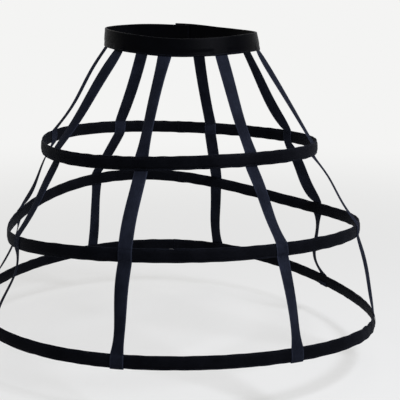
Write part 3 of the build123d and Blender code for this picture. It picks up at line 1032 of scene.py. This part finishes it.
@dataclass
class Waistband:
    """The satin waistband: one strip folded over its stiffener, sewn along its lower edge over the tapes.

    room is half of the space inside it over the stiffener and the tapes, and touch half of it elsewhere. The
    fold begins at fold_from, and rises by fold_height.
    """

    layer: float = 0.7
    room: float = 0.72
    room_behind: float = 0.12
    touch: float = 0.03
    step: float = 2.2
    fold_from: float = 13.8
    fold_height: float = 1.2

    def __post_init__(self) -> None:
        """Draws the band's unevenness and measures its length."""
        self.end = 180 + WAIST.lap_half_angle
        self.around = WAIST.length() * 2 * self.end / 360
        self.wander = Ripple(71, self.around, 45, 260)
        self.short = Ripple(72, self.around, 7, 17)
        self.edge = Ripple(73, self.around, 40, 200)

    def along(self, angle: Array) -> Array:
        """Distance along the flat band from its first end to an angle."""
        return np.radians(angle + self.end) * self.around / (2 * math.radians(self.end))

    def gap(self, angle: Array, up: Array) -> Array:
        """Half of the room between the two layers: wide over the stiffener and over the tapes."""
        near = np.zeros_like(angle + up)
        for hang in HANGS:
            near = np.maximum(near, within(WAIST.past(angle, hang.waist), TAPE_WIDTH / 2 + 0.3, 5))
        # The stiffener stands in the upper part, and the hooks and bars behind it need more room
        above = smooth((up + 7.5) / 4)
        room = self.room + self.room_behind * beyond(angle, 145, 10)
        ending = within(angle, self.end - 0.9, 0.9)
        return self.touch + (room - self.touch) * np.maximum(near, above) * ending

    def face(self, angle: Array, up: Array, side: Array | float) -> Array:
        """Distance outwards of the outer face of a layer, with its puffs and the pull of its lower seam.

        Args:
            angle: Angle round the waist.
            up: Height along the band.
            side: 1 for the outer layer, -1 for the inner one, and between them over the top fold.

        Returns:
            Distance from the middle of the band, in mm, negative on the inner side.
        """
        along, seam = self.along(angle), up + BAND_SEAM
        puff = 0.1 * (1 + self.wander.at(along, up * side))
        puff = puff + 0.08 * bump(seam, 2.6) * self.short.at(along, up * side)
        return side * (self.gap(angle, up) + self.layer + puff - 0.12 * bump(seam, 0.5))

    def surface(self, angle: Array) -> tuple[Array, Array]:
        """Points of the middle of the cloth by row and column, and the flat position of each column."""
        straight = np.concatenate([np.linspace(-14.6, -9, 8), np.linspace(-8, self.fold_from, 14)])
        turn = np.radians(np.linspace(0, 180, 9)[1:-1])
        up = np.concatenate([straight, self.fold_from + np.sin(turn) * self.fold_height, straight[::-1]])
        side = np.concatenate([-np.ones(len(straight)), -np.cos(turn), np.ones(len(straight))])
        flat = np.concatenate([straight - BAND_RIM, 0.9 * (turn - np.pi / 2), BAND_RIM - straight[::-1]])
        angle = angle[:, None]
        out = self.face(angle, up[None, :], side[None, :]) - side * self.layer / 2
        up = up + 0.15 * self.edge.at(self.along(angle), up * 0.1) * beyond(up, 8, 6)
        return WAIST.place(angle, out, up), flat

    def build(self) -> bpy.types.Object:
        """Builds the band with both of its layers and its two lapped ends."""
        angle = np.linspace(-self.end, self.end, round(self.around / self.step) + 1)
        surface, flat = self.surface(angle)
        points, spread = thick_strip(surface[:, ::-1], -flat[::-1], self.layer)
        mesh = ClothMesh()
        mesh.add_tube(points, np.linspace(0, self.around, len(angle)), spread, flip=True)
        return mesh.build("waistband_satin_fold")

    def seams(self) -> bpy.types.Object:
        """Sews the lower edge and both ends of the band."""
        stitching = Stitching(stitch=2.2, gap=0.4)
        angle = np.linspace(-self.end + 0.6, self.end - 0.6, 380)
        rows = [(angle, np.full_like(angle, -BAND_SEAM))]
        up = np.linspace(2.2 - BAND_SEAM, BAND_RIM - 1.6, 33)
        for end in (1, -1):
            rows.append((np.full_like(up, end * (self.end - np.degrees(2.5 / WAIST.half_depth))), up))
        for side in (1, -1):
            for turn, up in rows:
                stitching.sew_on(WAIST, turn, self.face(turn, up, side), up, side)
        return stitching.mesh.build("waistband_stitches")


@dataclass(frozen=True)
class Lamp:
    """One soft square lamp that faces the cage. Its place and size are in metres, and its power in watts."""

    name: str
    place: tuple[float, float, float]
    power: float
    size: float
    colour: str

    def hang(self) -> None:
        """Hangs the lamp."""
        data = bpy.data.lights.new(self.name, "AREA")
        data.energy, data.size = self.power, self.size
        data.color = linear(self.colour)[:3]
        lamp = add_object(self.name, data)
        lamp.location = self.place
        lamp.rotation_euler = (Vector((0, 0, -0.25)) - Vector(self.place)).to_track_quat("-Z", "Y").to_euler()


LAMPS = (
    Lamp("window_lamp", (1.3, -1.2, 1.8), 72.0, 0.8, "#eef2fc"),
    Lamp("overhead_lamp", (0.4, 0.2, 2.4), 14.0, 1.5, "#fffaf4"),
    Lamp("back_lamp", (-1.9, 1.9, 1.1), 12.0, 1.2, "#fff6ea"),
)


@dataclass(frozen=True)
class Studio:
    """A plain pale room: a wide floor that fades into the backdrop, soft lamps and the camera of the picture."""

    floor_height: float = -545.0
    floor_radius: float = 30_000.0
    floor_colour: str = "#e4e3e0"
    backdrop: str = "#f4f4f3"
    room_light: str = "#eef2fb"
    room_strength: float = 0.12
    lens: float = 103.19
    camera_place: tuple[float, float, float] = (26.97, -1969.9, 133.4)
    pitch: float = 0.20697
    yaw: float = 0.00356
    roll: float = 0.00981

    def camera(self) -> None:
        """Places the camera, fitted to the outline of the waistband and the hoops."""
        data = bpy.data.cameras.new("camera")
        data.sensor_width = 36.0
        data.lens = self.lens
        turn = Matrix.Rotation(-self.yaw, 3, "Z")
        forward = turn @ Vector((0, math.cos(self.pitch), -math.sin(self.pitch)))
        up = turn @ Vector((0, math.sin(self.pitch), math.cos(self.pitch)))
        right = turn @ Vector((1, 0, 0))
        across = right * math.cos(self.roll) + up * math.sin(self.roll)
        upright = up * math.cos(self.roll) - right * math.sin(self.roll)
        facing = Matrix((across, upright, -forward)).transposed().to_4x4()
        camera = add_object("camera", data)
        camera.matrix_world = Matrix.Translation(Vector(self.camera_place) * MM) @ facing
        bpy.context.scene.camera = camera

    def seen(self, tree: Tree) -> Socket:
        """Returns 1 for what the camera sees, also in metal, and 0 for the light that falls on the cage."""
        path = add_node(tree, "LightPath").outputs
        seen = path["Is Camera Ray"]
        for ray in ("Is Glossy Ray", "Is Transmission Ray"):
            seen = joined(tree, "MAXIMUM", seen, path[ray])
        return seen

    def floor(self) -> None:
        """Lays the pale floor, which keeps the shadow near the cage and fades into the backdrop far off."""
        material = bpy.data.materials.new("pale_floor")
        tree = empty_tree(material)
        away = add_node(tree, "VectorMath", {0: solid_place(tree)}, operation="LENGTH").outputs["Value"]
        far = mapped(tree, away, (0.4, 2.4), (0.6, 1.0), "SMOOTHSTEP")
        share = joined(tree, "MULTIPLY", far, self.seen(tree))
        paint = add_node(tree, "BsdfDiffuse", {"Color": linear(self.floor_colour)})
        glow = add_node(tree, "Emission", {"Color": linear(self.backdrop)})
        mix = add_node(tree, "MixShader", {0: share, 1: paint.outputs[0], 2: glow.outputs[0]})
        add_node(tree, "OutputMaterial", {"Surface": mix.outputs[0]})
        mesh = bpy.data.meshes.new("floor")
        reach, turns = self.floor_radius * MM, np.radians(np.arange(0, 360, 6))
        rim = [(reach * math.cos(turn), reach * math.sin(turn), 0.0) for turn in turns]
        mesh.from_pydata(rim, [], [tuple(range(len(turns)))])
        mesh.materials.append(material)
        floor = add_object("floor", mesh)
        floor.location.z = self.floor_height * MM

    def world(self) -> None:
        """Lights the room evenly, and shows the backdrop where nothing stands before it."""
        world = bpy.data.worlds.new("room")
        tree = empty_tree(world)
        dim = add_node(tree, "Background", {"Color": linear(self.room_light), "Strength": self.room_strength})
        pale = add_node(tree, "Background", {"Color": linear(self.backdrop), "Strength": 1.0})
        mix = add_node(tree, "MixShader", {0: self.seen(tree), 1: dim.outputs[0], 2: pale.outputs[0]})
        add_node(tree, "OutputWorld", {"Surface": mix.outputs[0]})
        bpy.context.scene.world = world

    def build(self) -> None:
        """Sets up the whole room."""
        bpy.context.scene.view_settings.view_transform = "Standard"
        self.camera()
        self.floor()
        self.world()
        for lamp in LAMPS:
            lamp.hang()


# The satin's long floats lie side by side, so it is deep black with a soft streaky gloss. The real floats are
# about 0.3 mm apart, and are drawn 0.6 mm apart so that they show.
BAND_SATIN = ClothFinish(
    name="polyester_satin", weave=Weave.SATIN, deep="#020203", face="#07080d", edge_wear_and_highlight="#12141d",
    sheen_colour="#4a5f9a", thread=0.6, relief=0.03, roughness=(0.3, 0.42), specular=0.015, sheen=0.015,
    sheen_roughness=0.35, edge=28.0, edge_wear_and_highlight_share=0.3,
)
# Twill tape is dyed cotton and polyester: slanting ribs, a matt face with a bluish bloom.
# Its ribs are 0.7 mm apart on the real tape, and are drawn 1.1 mm apart so that they show.
TAPE_TWILL = ClothFinish(
    name="twill_tape", weave=Weave.TWILL, deep="#12131a", face="#303543", edge_wear_and_highlight="#3d4252",
    sheen_colour="#8c9ccb", thread=1.1, relief=0.14, roughness=(0.62, 0.78), specular=0.01, sheen=0.04,
    sheen_roughness=0.4, edge=9.0, edge_wear_and_highlight_share=0.6,
)
# The casings are bias strips of a plain cotton and polyester weave, matt, with their edges painted a little
# paler, partly by wear and partly as a painted highlight.
# Their threads are 0.5 mm apart on the real strip, and are drawn 0.8 mm apart so that they show.
CASING_CLOTH = ClothFinish(
    name="casing_cotton", weave=Weave.PLAIN, deep="#08080b", face="#191b21", edge_wear_and_highlight="#2a2d37",
    sheen_colour="#8490b8", thread=0.8, relief=0.08, roughness=(0.55, 0.7), specular=0.01, sheen=0.025,
    sheen_roughness=0.45, edge=10.0, edge_wear_and_highlight_share=0.6,
)
SEWING_THREAD = ThreadFinish(name="polyester_thread", colour="#101116", highlight="#2b2e3b")


def dress_hidden_parts() -> None:
    """Gives the bones, sleeves, stiffener, hooks and bars, whose solids stay, their own finishes."""
    steel, plate = CoatedSteel().material(), NickelPlate().material()
    buckram = Buckram().material()
    for name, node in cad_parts.items():
        if name.startswith("hoop_bone"):
            finish = steel
        elif name.startswith(("bone_sleeve", "waist_hook", "waist_bar")):
            finish = plate
        elif name == "waistband_stiffener":
            finish = buckram
        else:
            continue
        node.data.materials.clear()
        node.data.materials.append(finish)
        log.info("%s keeps its solid", name)


def main() -> None:
    """Builds the cage piece by piece and then the room around it."""
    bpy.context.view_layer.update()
    satin, twill, cotton = BAND_SATIN.material(), TAPE_TWILL.material(), CASING_CLOTH.material()
    thread = SEWING_THREAD.material()

    band = Waistband()
    fold = band.build()
    dress(fold, satin, ("waistband",))
    dress(band.seams(), thread)

    casings = {}
    for number, (name, level) in enumerate(HOOPS.items()):
        casings[name] = Casing(
            name=name,
            level=level,
            crossings=tuple(hang.hoops[number] for hang in HANGS),
            face=TAPE_FACES[name],
            seed=11 + 10 * number,
            lumpy_at=(66.0, 16.0) if name == "lower" else (0.0, 0.0),
        )
        cloth = casings[name].build()
        dress(cloth, cotton, (f"hoop_casing_{name}",))
        dress(casings[name].seams(), thread)

    stitching = Stitching()
    for hang in HANGS:
        tape = Tape(hang, casings)
        cloth = tape.build()
        dress(cloth, twill, (f"tape_{hang.name}",))
        tape.sew(stitching)
    dress(stitching.mesh.build("tape_stitches"), thread)

    dress_hidden_parts()
    Studio().build()


if __name__ == "__main__":
    logging.basicConfig(level=logging.INFO, format="%(message)s")
    main()
